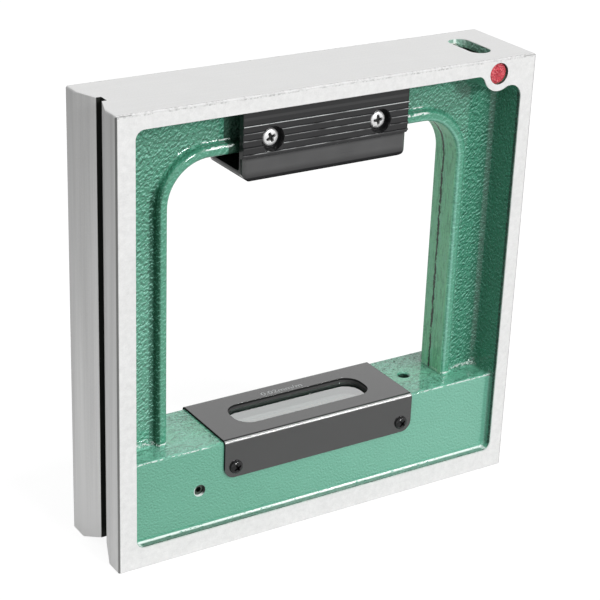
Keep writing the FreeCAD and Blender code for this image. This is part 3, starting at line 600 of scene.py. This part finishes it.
def gripFinish(look):
    # black with fine lines along the bar, and painted highlights in patches along the ribs' upper edges
    # a rib's line lies where (z - first rib) modulo pitch is within look["line"]
    finish = Finish("gripFinish")
    place = finish.place()
    x, y, z = finish.axes()
    deep = y.size()
    grain = finish.noise(place, 1800.0, 2.0, 0.6)
    drawn = finish.noise(finish.stretched((30 * mm, 0.7 * mm, 0.35 * mm)), 1.0, 3.0, 0.6)
    cloud = finish.noise(place, 60.0, 2.0, 0.5)
    patches = finish.noise(finish.stretched((11 * mm, 3 * mm, 1.4 * mm)), 1.0, 2.0, 0.6)
    overRib = ((z - look["firstRib"]) * (1 / look["pitch"])).math("FRACT") * look["pitch"]
    groove = overRib.over(look["line"][1], 0.1 * mm) * z.over(look["firstRib"] - 0.6 * mm, 0.2 * mm)
    upmost = z.over(look["lastRib"], 0.3 * mm)
    # painted highlight on the ribs' upper edges, in patches
    wearAndGlint = deep.over(look["crest"], 0.08 * mm) * overRib.between(*look["line"], 0.1 * mm)
    wearAndGlint = wearAndGlint * patches.step(0.36 - upmost * 0.12, 0.66 - upmost * 0.16) * (0.62 + upmost * 0.38)
    # the ends, the inside, the grooves and the lowest edge take little light
    lowest = z.under(look["bottom"] + 2.2 * mm, 0.5 * mm)
    dull = x.size().over(look["end"], 0.3 * mm).larger(deep.under(look["inner"], 0.1 * mm))
    dull = dull.larger(groove * 0.55).larger(lowest)
    # painted light: the lower band paler above its lowest edge, more so in clouds, not on the ends, inside or
    # grooves
    litBand = z.over(look["bottom"] + 2.0 * mm, 3.0 * mm) * z.under(look["band"], 1.5 * mm)
    colour = finish.blend(grain * 0.4 + drawn * 0.5, look["black"], look["soft"])
    colour = finish.blend(litBand * (0.35 + cloud) * (1 - dull), colour, look["dustAndSheen"])
    return finish.done(finish.surface({
        "Base Color": finish.blend(wearAndGlint, colour, look["wearAndGlint"]),
        "Roughness": look["rough"] + (drawn - 0.5) * 0.16 + lowest * 0.6, "Specular IOR Level": 0.2,
        "Coat Weight": 1 - (dull * 0.85).larger(lowest), "Coat Roughness": 0.16, "Coat IOR": 1.6,
        "Normal": finish.relief(drawn, 0.012 * mm, 0.7)}))


def steelFinish(name, bright, dark, rough):
    # turned or drawn metal with a fine grain
    finish = Finish(name)
    place = finish.place()
    grain = finish.noise(place, 1500.0, 3.0, 0.6)
    cloud = finish.noise(place, 300.0, 2.0, 0.5)
    return finish.done(finish.surface({
        "Base Color": finish.blend(grain * 0.6 + cloud * 0.4, bright, dark),
        "Roughness": rough + (grain - 0.5) * 0.1, "Metallic": 1.0,
        "Normal": finish.relief(grain, 0.01 * mm, 0.4)}))


blackScrewLook = {
    "bright": (0.007, 0.007, 0.008),
    "dark": (0.003, 0.003, 0.003),
    "recess": (0.002, 0.002, 0.002),
    "rough": 0.45,
    "metal": 0.0,
    "mirror": 0.0,
    "coat": 1.0,
    "gloss": 1.45,
}
brightScrewLook = {
    "bright": (0.96, 0.96, 0.96),
    "dark": (0.84, 0.84, 0.84),
    "recess": (0.020, 0.020, 0.020),
    "rough": 0.32,
    "metal": 0.6,
    "mirror": 0.5,
    "coat": 0.0,
    "gloss": 1.5,
}


def screwFinish(name, look):
    # steel whose recess, marked by the piece's own attribute, is dark as painted shade and without gloss
    finish = Finish(name)
    grain = finish.noise(finish.place(), 1500.0, 3.0, 0.6)
    hollow = finish.node("ShaderNodeAttribute", {"attribute_name": "hollow"}, None, "Fac")
    plate = finish.blend(grain, look["bright"], look["dark"])
    return finish.done(finish.surface({
        "Base Color": finish.blend(hollow, plate, look["recess"]),
        "Roughness": look["rough"] + (grain - 0.5) * 0.1 + hollow * 0.2,
        "Metallic": (1 - hollow * 0.5) * look["metal"], "Specular IOR Level": look["mirror"],
        "Coat Weight": (1 - hollow * 0.7) * look["coat"], "Coat IOR": look["gloss"], "Coat Roughness": 0.08,
        "Normal": finish.relief(grain, 0.01 * mm, 0.4)}))


paneLook = {"tint": (0.90, 0.95, 0.93), "mirror": (0.74, 0.75, 0.75)}


def paneFinish(look):
    # a clear pane that shows what lies under it from above and mirrors the room at a low angle
    finish = Finish("paneFinish")
    specks = (finish.noise(finish.place(), 800.0, 2.0) - 0.5) * 0.02
    return finish.done(finish.glass(look, 0.5, 0.04, lambda facing: (
        0.05 + 0.95 * facing ** 0.9 + specks).smaller(1.0)))


vialLook = {"tint": (0.90, 0.95, 0.93), "mirror": (0.95, 1.0, 0.98), "shine": 0.8}
smallVialLook = {
    "tint": (0.88, 0.97, 0.93),
    "mirror": (0.95, 1.0, 0.98),
    "shine": 0.34,
    "black": (0.004, 0.006, 0.005),
    "left": boreX + 1.7 * mm,
    "rear": 5.0 * mm,
}


def vialGlass(finish, look):
    return finish.glass(look, 0.4, 0.03, lambda facing: 0.04 + look["shine"] * facing ** 2.0)


def vialFinish(look):
    finish = Finish("vialFinish")
    return finish.done(vialGlass(finish, look))


def smallVialFinish(look):
    # clear glass with painted shadow along its left side, where it lies under the slot's edge
    finish = Finish("smallVialFinish")
    x, y = finish.axes()[:2]
    left = x.under(look["left"] + 0.2 * mm, 0.4 * mm) * y.under(look["rear"] + 0.8 * mm, 0.8 * mm)
    black = finish.node("ShaderNodeBsdfDiffuse", None, {"Color": look["black"]})
    return finish.done(finish.layered(left * 0.95, vialGlass(finish, look), black))


def spiritFinish(name, light, dark, alpha):
    # the filling of a vial, faintly cloudy
    finish = Finish(name)
    cloud = finish.noise(finish.place(), 400.0, 2.0)
    return finish.done(finish.surface({
        "Base Color": finish.blend(cloud.step(0.35, 0.65), light, dark),
        "Roughness": 0.08, "Alpha": alpha + cloud * 0.1}))


waxLook = {"red": (0.70, 0.075, 0.100), "pale": (0.90, 0.36, 0.36), "dark": (0.36, 0.012, 0.028)}


def waxFinish(look):
    # red wax with pale grains and darker hollows between its lumps
    finish = Finish("waxFinish")
    place = finish.place()
    lumps = finish.noise(place, 1300.0, 3.0, 0.6, 0.6)
    grains = finish.cells(place, 1700.0)
    colour = finish.blend(lumps.step(0.62, 0.34), look["red"], look["dark"])
    colour = finish.blend(grains.step(0.46, 0.05) * 0.90, colour, look["pale"])
    return finish.done(finish.surface({
        "Base Color": colour, "Roughness": 0.42,
        "Normal": finish.relief(lumps + grains * 0.5, 0.15 * mm, 0.9)}))


def matteFinish(name, light, dark, scale, depth):
    # rubber, plaster and paint: grain of a given scale and depth
    finish = Finish(name)
    grain = finish.noise(finish.place(), scale, 3.0, 0.6)
    return finish.done(finish.surface({
        "Base Color": finish.blend(grain, light, dark), "Roughness": 0.75,
        "Normal": finish.relief(grain, depth, 0.7)}))


finishes = {
    "casting": castingFinish(castingLook),
    "cover_sheet": coverFinish(coverLook),
    "black_screws": screwFinish("blackScrewFinish", blackScrewLook),
    "gasket": matteFinish("gasketFinish", (0.020, 0.020, 0.020), (0.045, 0.045, 0.045), 1200.0, 0.03 * mm),
    "pane": paneFinish(paneLook),
    "grip": gripFinish(gripLook),
    "bright_screws": screwFinish("brightScrewFinish", brightScrewLook),
    "set_screws": steelFinish("setScrewFinish", (0.16, 0.19, 0.17), (0.03, 0.04, 0.03), 0.24),
    "tube": steelFinish("tubeFinish", (0.80, 0.66, 0.38), (0.62, 0.48, 0.25), 0.30),
    "plugs": steelFinish("plugFinish", (0.62, 0.62, 0.63), (0.45, 0.45, 0.46), 0.33),
    "spring": steelFinish("springFinish", (0.60, 0.60, 0.62), (0.35, 0.35, 0.36), 0.28),
    "vial": vialFinish(vialLook),
    "spirit": spiritFinish("spiritFinish", (0.20, 0.52, 0.32), (0.26, 0.62, 0.40), 0.60),
    "small_vial": smallVialFinish(smallVialLook),
    "small_spirit": spiritFinish("smallSpiritFinish", (0.130, 0.420, 0.270), (0.210, 0.560, 0.370), 0.85),
    "plaster": matteFinish("plasterFinish", (0.84, 0.83, 0.79), (0.70, 0.69, 0.65), 900.0, 0.05 * mm),
    "wax": waxFinish(waxLook),
    "marking": matteFinish("markingFinish", (0.62, 0.63, 0.64), (0.50, 0.51, 0.52), 2500.0, 0.01 * mm),
    "lines": matteFinish("lineFinish", (0.010, 0.010, 0.010), (0.020, 0.020, 0.020), 2500.0, 0.01 * mm),
}
print("finishes made")


# Pieces kept from the CAD nodes

bodyOf = {}
for body, members in frame["record"]["behaviour"]["bodies"].items():
    for member in members:
        bodyOf[member] = body
slotOf = {part["node"]: part["material_slot"] for part in frame["record"]["subparts"]}


def dressPiece(name, mesh, node, finish=None, rides=True):
    # a new piece in the slot of a CAD node, and on its body unless rides is false
    mesh.materials.clear()
    mesh.materials.append(finishes[finish or slotOf[node]])
    piece = bpy.data.objects.new(name, mesh)
    scene.collection.objects.link(piece)
    if rides:
        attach(piece, bodyOf[node])
    return piece


def sharpenEdges(work, angle):
    # smooth faces, with sharp edges where the faces turn by more than angle
    for face in work.faces:
        face.smooth = True
    for edge in work.edges:
        edge.smooth = len(edge.link_faces) == 2 and edge.calc_face_angle(0.0) < math.radians(angle)


def copyNode(node, bevel, finish):
    # a merged copy of a CAD node that stands for it; bevel rounds its sharp edges
    # its normals lean towards the larger faces, so flat faces stay flat beside rounded edges
    work = bmesh.new()
    work.from_mesh(frame["nodes"][node].data)
    bmesh.ops.remove_doubles(work, verts=work.verts, dist=1e-6)
    bmesh.ops.dissolve_limit(work, angle_limit=math.radians(0.3), verts=work.verts, edges=work.edges)
    if bevel:
        sharp = [edge for edge in work.edges if edge.calc_face_angle(0.0) > math.radians(35)]
        bmesh.ops.bevel(work, geom=sharp, offset=bevel, offset_type="OFFSET", segments=2, profile=0.5,
                        affect="EDGES", clamp_overlap=True)
    sharpenEdges(work, 34.0)
    mesh = bpy.data.meshes.new(node + "_dressed")
    work.to_mesh(mesh)
    work.free()
    piece = dressPiece(node + "_dressed", mesh, node, finish)
    leaning = piece.modifiers.new("leaningNormals", "WEIGHTED_NORMAL")
    leaning.keep_sharp = True
    leaning.weight = 95
    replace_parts(piece, node)


keptNodes = (
    "frame_casting", "vial_cover", "hand_grip", "window_gasket", "window_glass", "vial_tube",
    "pivot_end_plug", "adjuster_end_plug", "main_vial_glass", "main_vial_stopper", "main_vial_spirit",
    "main_vial_bushes", "cross_vial_glass", "cross_vial_spirit", "cross_vial_bushes", "pivot_screws",
    "adjusting_screw", "plug_lock_screws",
)
keptLook = {
    "bevel": {"hand_grip": 0.12 * mm},
    "finish": {"cross_vial_glass": "small_vial", "cross_vial_spirit": "small_spirit"},
}
for node in keptNodes:
    copyNode(node, keptLook["bevel"].get(node, 0.0), keptLook["finish"].get(node))
print("CAD pieces dressed")


# Pieces worked out as surfaces


def gridFaces(rows, columns):
    # quads between neighbouring rows of a grid whose columns go once round
    r, c = np.meshgrid(np.arange(rows - 1), np.arange(columns), indexing="ij")
    n = (c + 1) % columns
    return np.stack([r * columns + c, r * columns + n, (r + 1) * columns + n, (r + 1) * columns + c], -1)


def meshOf(name, points, faces, marks=None):
    # a closed mesh from grid points and quads, poles merged; marks is one number per point, kept as "hollow"
    mesh = bpy.data.meshes.new(name)
    mesh.from_pydata(points.reshape(-1, 3).tolist(), [], faces.reshape(-1, faces.shape[-1]).tolist())
    if marks is not None:
        hollow = mesh.attributes.new("hollow", "FLOAT", "POINT")
        hollow.data.foreach_set("value", marks.astype(np.float32).ravel())
    work = bmesh.new()
    work.from_mesh(mesh)
    bmesh.ops.remove_doubles(work, verts=work.verts, dist=1e-7)
    bmesh.ops.dissolve_degenerate(work, edges=work.edges, dist=1e-8)
    bmesh.ops.recalc_face_normals(work, faces=work.faces)
    sharpenEdges(work, 38.0)
    work.to_mesh(mesh)
    work.free()
    return mesh


coverScrewLook = {
    "head": 3.1 * mm,
    "height": 1.7 * mm,
    "crown": 0.72,
    "arm": 1.75 * mm,
    "armHalf": 0.42 * mm,
    "recess": 1.15 * mm,
    "shank": 1.5 * mm,
    "length": 5.0 * mm,
    "pitch": 0.5 * mm,
    "turns": (30, 45),
}
gripScrewLook = {
    "head": 3.75 * mm,
    "height": 2.0 * mm,
    "crown": 0.62,
    "arm": 2.35 * mm,
    "armHalf": 0.74 * mm,
    "recess": 1.4 * mm,
    "shank": 2.0 * mm,
    "length": 8.5 * mm,
    "pitch": 0.7 * mm,
    "turns": (25, 5),
}
screwGrid = {"around": 96, "head": 44, "shank": 61, "thread": 0.26, "point": 0.8 * mm, "tip": 0.65}


def panHeadScrew(look, turn, grid):
    # head: r = R sin^c(t), h = H cos^c(t) for t from 0 to a quarter turn, less the cross recess
    # recess: depth D min((w - |v|) / 0.45 W, (L - |u|) / 0.35 L, 1) along each arm of the cross
    # w = W (1.25 - 0.5 |u| / L), so that an arm narrows outwards
    # shank: r = S - thread (0.5 + 0.5 cos(2 pi h / pitch - angle)), which tapers to its tip
    count = grid["around"]
    angle = np.linspace(0, 2 * np.pi, count, endpoint=False)[None, :]
    t = np.linspace(0, np.pi / 2, grid["head"])[:, None]
    radius = look["head"] * np.sin(t) ** look["crown"] + 0 * angle
    height = look["height"] * np.cos(t) ** look["crown"] + 0 * angle
    depth = np.zeros_like(radius)
    for arm in (0, 1):
        u = np.abs(radius * np.cos(angle - math.radians(turn + 90 * arm)))
        v = np.abs(radius * np.sin(angle - math.radians(turn + 90 * arm)))
        half = look["armHalf"] * (1.25 - 0.5 * u / look["arm"])
        slope = np.minimum((half - v) / (0.45 * look["armHalf"]), (look["arm"] - u) / (0.35 * look["arm"]))
        depth = np.maximum(depth, np.clip(slope, 0, 1))
    marks = np.clip(depth * 1.6, 0, 1)
    height = height - look["recess"] * depth
    z = np.linspace(0, -look["length"], grid["shank"])[:, None]
    thread = grid["thread"] * look["pitch"] * (0.5 + 0.5 * np.cos(2 * np.pi * z / look["pitch"] - angle))
    taper = np.clip((z + look["length"]) / grid["point"], 0.0, 1.0) * (1 - grid["tip"]) + grid["tip"]
    shank = (look["shank"] - thread) * taper
    end = np.zeros((1, count))
    radius = np.concatenate([radius, shank, end])
    height = np.concatenate([height, z + 0 * angle, end - look["length"]])
    marks = np.concatenate([marks, np.zeros((grid["shank"] + 1, count))])
    points = np.stack([radius * np.cos(angle), radius * np.sin(angle), height], -1)
    return points, gridFaces(len(radius), count), marks


def makeScrews(node, look, grid):
    # four screws, placed by the node's own box, two in each face
    low, high = boxOf(node)
    across = high[0] - look["head"]
    rise = (low[2] + high[2]) / 2
    seat = high[1] - look["height"]
    allPoints, allFaces, allMarks = [], [], []
    for way in (-1, 1):
        for place, turn in zip((-across, across), look["turns"]):
            points, faces, marks = panHeadScrew(look, turn, grid)
            seated = np.stack([place - way * points[..., 0], way * (seat + points[..., 2]),
                               rise + points[..., 1]], -1)
            allFaces.append(faces.reshape(-1, 4) + sum(len(part) for part in allPoints))
            allPoints.append(seated.reshape(-1, 3))
            allMarks.append(marks.ravel())
    every = [np.concatenate(parts) for parts in (allPoints, allFaces, allMarks)]
    mesh = meshOf(node + "_dressed", *every)
    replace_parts(dressPiece(node + "_dressed", mesh, node), node)


makeScrews("cover_screws", coverScrewLook, screwGrid)
makeScrews("grip_screws", gripScrewLook, screwGrid)
print("screws made")

sealLook = {
    "rings": 26,
    "spokes": 84,
    "waves": 26,
    "lump": 0.22 * mm,
    "grain": 0.85 * mm,
    "crown": 0.45 * mm,
    "sunk": 1.2,
    "seed": 7,
}


def makeSeal(node, look):
    # disc: height(r, angle) = lump waves (1 - (r / R)^6) - crown (r / R)^4 - sunk lump, never above the face
    # waves are a sum of cosines along seeded random directions
    low, high = boxOf(node)
    middle = (low + high) / 2
    radius = (high[0] - low[0]) / 2
    way = 1 if middle[1] > 0 else -1
    outer, inner = (high[1], low[1]) if way > 0 else (low[1], high[1])
    angle = np.linspace(0, 2 * np.pi, look["spokes"], endpoint=False)[None, :]
    share = np.linspace(0, 1, look["rings"])[:, None]
    u = radius * share * np.cos(angle)
    v = radius * share * np.sin(angle)
    chance = np.random.default_rng(look["seed"] + way)
    lumps = np.zeros_like(u)
    for wave in range(look["waves"]):
        turn, start = chance.uniform(0, 2 * np.pi, 2)
        length = look["grain"] * chance.uniform(0.7, 1.8)
        along = u * np.cos(turn) + v * np.sin(turn)
        lumps += np.cos(2 * np.pi * along / length + start) / look["waves"] ** 0.5
    skin = look["lump"] * lumps * (1 - share ** 6) - look["crown"] * share ** 4
    skin = np.minimum(skin - look["lump"] * look["sunk"], 0)
    front = np.stack([middle[0] + u, outer + way * skin, middle[2] + v], -1)
    rim = np.stack([front[-1:, :, 0], inner + 0 * angle, front[-1:, :, 2]], -1)
    back = np.stack([middle[0] + 0 * angle, inner + 0 * angle, middle[2] + 0 * angle], -1)
    points = np.concatenate([front, rim, back])
    mesh = meshOf(node + "_dressed", points, gridFaces(len(points), look["spokes"]))
    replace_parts(dressPiece(node + "_dressed", mesh, node), node)


makeSeal("front_bore_seal", sealLook)
makeSeal("rear_bore_seal", sealLook)
print("seals made")

springLook = {"wire": 0.8 * mm, "turns": 5.5, "steps": 230, "sides": 14, "flat": 0.7}


def makeSpring(look):
    # coil: middle line (R cos a, R sin a, h), where h rises slower over the end turns
    # h = s - flat sin(2 pi s) / (8 pi) of the height, for s from 0 to 1; wire: a circle round that line
    low, high = boxOf("return_spring")
    middle = (low + high) / 2
    half = look["wire"] / 2
    radius = (high[0] - low[0]) / 2 - half
    share = np.linspace(0, 1, look["steps"])[:, None]
    a = 2 * np.pi * look["turns"] * share
    rise = share - look["flat"] * np.sin(2 * np.pi * share) / (8 * np.pi)
    h = low[2] + half + rise * (high[2] - low[2] - 2 * half)
    around = np.linspace(0, 2 * np.pi, look["sides"], endpoint=False)[None, :]
    wire = np.where((share == 0) | (share == 1), 0.0, half)
    reach = radius + wire * np.cos(around)
    x, y = middle[0] + reach * np.cos(a), middle[1] + reach * np.sin(a)
    points = np.stack([x, y, h + wire * np.sin(around)], -1)
    mesh = meshOf("return_spring_dressed", points, gridFaces(look["steps"], look["sides"]))
    spring = dressPiece("return_spring_dressed", mesh, "return_spring", rides=False)
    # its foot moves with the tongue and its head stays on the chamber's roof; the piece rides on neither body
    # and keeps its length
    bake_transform(spring)
    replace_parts(spring, "return_spring")


makeSpring(springLook)
print("spring made")

graduationLook = {
    "width": 0.22 * mm,
    "proud": 0.04 * mm,
    "sweep": 115.0,
    "steps": 25,
    "main": (12, 14, 16, 18, 20),
    "cross": (4.2, 6.2),
}


def lineArcs(middle, radius, along, places, look):
    # thin bands over a vial's top: (place +- width / 2, r cos a, r sin a), with a within the sweep and
    # r from R to R + proud
    steps = look["steps"]
    a = np.radians(90 + np.linspace(-look["sweep"] / 2, look["sweep"] / 2, steps))
    corners = np.array([[-0.5, 0], [0.5, 0], [0.5, 1], [-0.5, 1]])
    every = []
    for place in places:
        shift = place + corners[:, 0][None, :] * look["width"] + 0 * a[:, None]
        reach = radius + corners[:, 1][None, :] * look["proud"]
        side, up = reach * np.cos(a)[:, None], reach * np.sin(a)[:, None]
        order = (shift, side, up) if along == 0 else (side, shift, up)
        every.append(np.stack(order, -1) + middle)
    count = 4 * steps
    ends = np.array([[0, 1, 2, 3], [count - 1, count - 2, count - 3, count - 4]])
    one = np.concatenate([gridFaces(steps, 4).reshape(-1, 4), ends])
    return np.stack(every), np.concatenate([one + count * k for k in range(len(places))])


def makeGraduations(look):
    # lines on either side of each vial's middle, on the glass's own piece
    for node, along, key in (("main_vial_glass", 0, "main"), ("cross_vial_glass", 1, "cross")):
        low, high = boxOf(node)
        places = np.array([way * place * mm for place in look[key] for way in (-1, 1)])
        points, faces = lineArcs((low + high) / 2, (high[2] - low[2]) / 2, along, places, look)
        name = node.replace("glass", "lines")
        dressPiece(name, meshOf(name, points, faces), node, "lines")


makeGraduations(graduationLook)
print("graduations made")

markingLook = {
    "words": "0.02mm/m",
    "height": 2.6 * mm,
    "left": -12.3 * mm,
    "right": 8.7 * mm,
    "front": 10.7 * mm,
    "rise": 0.03 * mm,
    "sunk": 0.01 * mm,
}


def makeMarking(look):
    # flat letters, fitted to their width and height and laid on the cover's top
    curve = bpy.data.curves.new("marking", "FONT")
    curve.body = look["words"]
    curve.extrude = 0.02
    letters = bpy.data.objects.new("marking", curve)
    scene.collection.objects.link(letters)
    bpy.context.view_layer.update()
    mesh = bpy.data.meshes.new_from_object(letters.evaluated_get(bpy.context.evaluated_depsgraph_get()))
    bpy.data.objects.remove(letters)
    points = np.zeros(len(mesh.vertices) * 3)
    mesh.vertices.foreach_get("co", points)
    points = points.reshape(-1, 3)
    low, high = points.min(0), points.max(0)
    share = (points - low) / (high - low)
    points = np.stack([look["left"] + share[:, 0] * (look["right"] - look["left"]),
                       look["front"] + share[:, 1] * look["height"],
                       coverTop - look["sunk"] + share[:, 2] * look["rise"]], -1)
    mesh.vertices.foreach_set("co", points.ravel())
    dressPiece("cover_marking", mesh, "vial_cover", "marking")


makeMarking(markingLook)
print("marking laid")


# Floor and light

studioLook = {
    "floorHalf": 4.0,
    "floorDrop": 0.2 * mm,
    "floorColour": (0.60, 0.60, 0.60),
    "white": (1.0, 1.0, 1.0),
    "floorShare": 0.30,
    "floorGlow": 1.28,
    "glossShare": 0.45,
    "zenith": (0.50, 0.85),
    "ambient": 0.30,
    "lamps": {
        "front": {"azimuth": 8.0, "elevation": 22.0, "angle": 11.0, "strength": 1.60},
        "right": {"azimuth": 36.0, "elevation": 33.0, "angle": 6.0, "strength": 0.66},
        "above": {"azimuth": 0.0, "elevation": 78.0, "angle": 70.0, "strength": 0.80},
        "left": {"azimuth": -75.0, "elevation": 12.0, "angle": 60.0, "strength": 0.28},
    },
}


def makeFloor(look):
    # pale floor that keeps the shadow and shows white to the camera, to gloss and through glass
    half = look["floorHalf"]
    corners = ((-half, -half), (half, -half), (half, half), (-half, half))
    mesh = bpy.data.meshes.new("floor")
    mesh.from_pydata([(x, y, -look["floorDrop"]) for x, y in corners], [], [(0, 1, 2, 3)])
    floor = bpy.data.objects.new("floor", mesh)
    scene.collection.objects.link(floor)
    finish = Finish("floorFinish")
    seen, gloss = finish.seenAndGloss()
    seen = seen.larger(gloss * look["glossShare"])
    plain = finish.node("ShaderNodeBsdfDiffuse", None, {"Color": look["floorColour"]})
    bright = finish.node("ShaderNodeEmission", None, {"Color": look["white"], "Strength": look["floorGlow"]})
    mesh.materials.append(finish.done(finish.layered(seen * (1 - look["floorShare"]), plain, bright)))


def makeWorld(look):
    # soft light from all round, white where the camera, gloss or glass sees it
    scene.world = bpy.data.worlds.new("studio")
    finish = Finish("studio", scene.world)
    seen, gloss = finish.seenAndGloss()
    way = finish.node("ShaderNodeTexCoord", output="Generated")
    up = finish.node("ShaderNodeSeparateXYZ", None, {0: way}, "Z")
    seen = seen.larger(gloss * (1 - up.step(*look["zenith"])))
    dim = finish.node("ShaderNodeBackground", None, {"Color": look["white"], "Strength": look["ambient"]})
    bright = finish.node("ShaderNodeBackground", None, {"Color": look["white"], "Strength": 1.0})
    finish.done(finish.layered(seen, dim, bright), "ShaderNodeOutputWorld")


def makeLamp(name, look):
    # a broad far lamp; way points from the level to it
    way = bearing(look)
    data = bpy.data.lights.new(name, "SUN")
    data.energy = look["strength"]
    data.angle = math.radians(look["angle"])
    lamp = bpy.data.objects.new(name, data)
    lamp.location = way
    lamp.rotation_euler = way.to_track_quat("Z", "Y").to_euler()
    scene.collection.objects.link(lamp)


makeFloor(studioLook)
makeWorld(studioLook)
for name, look in studioLook["lamps"].items():
    makeLamp(name + "Lamp", look)
print("studio lit")
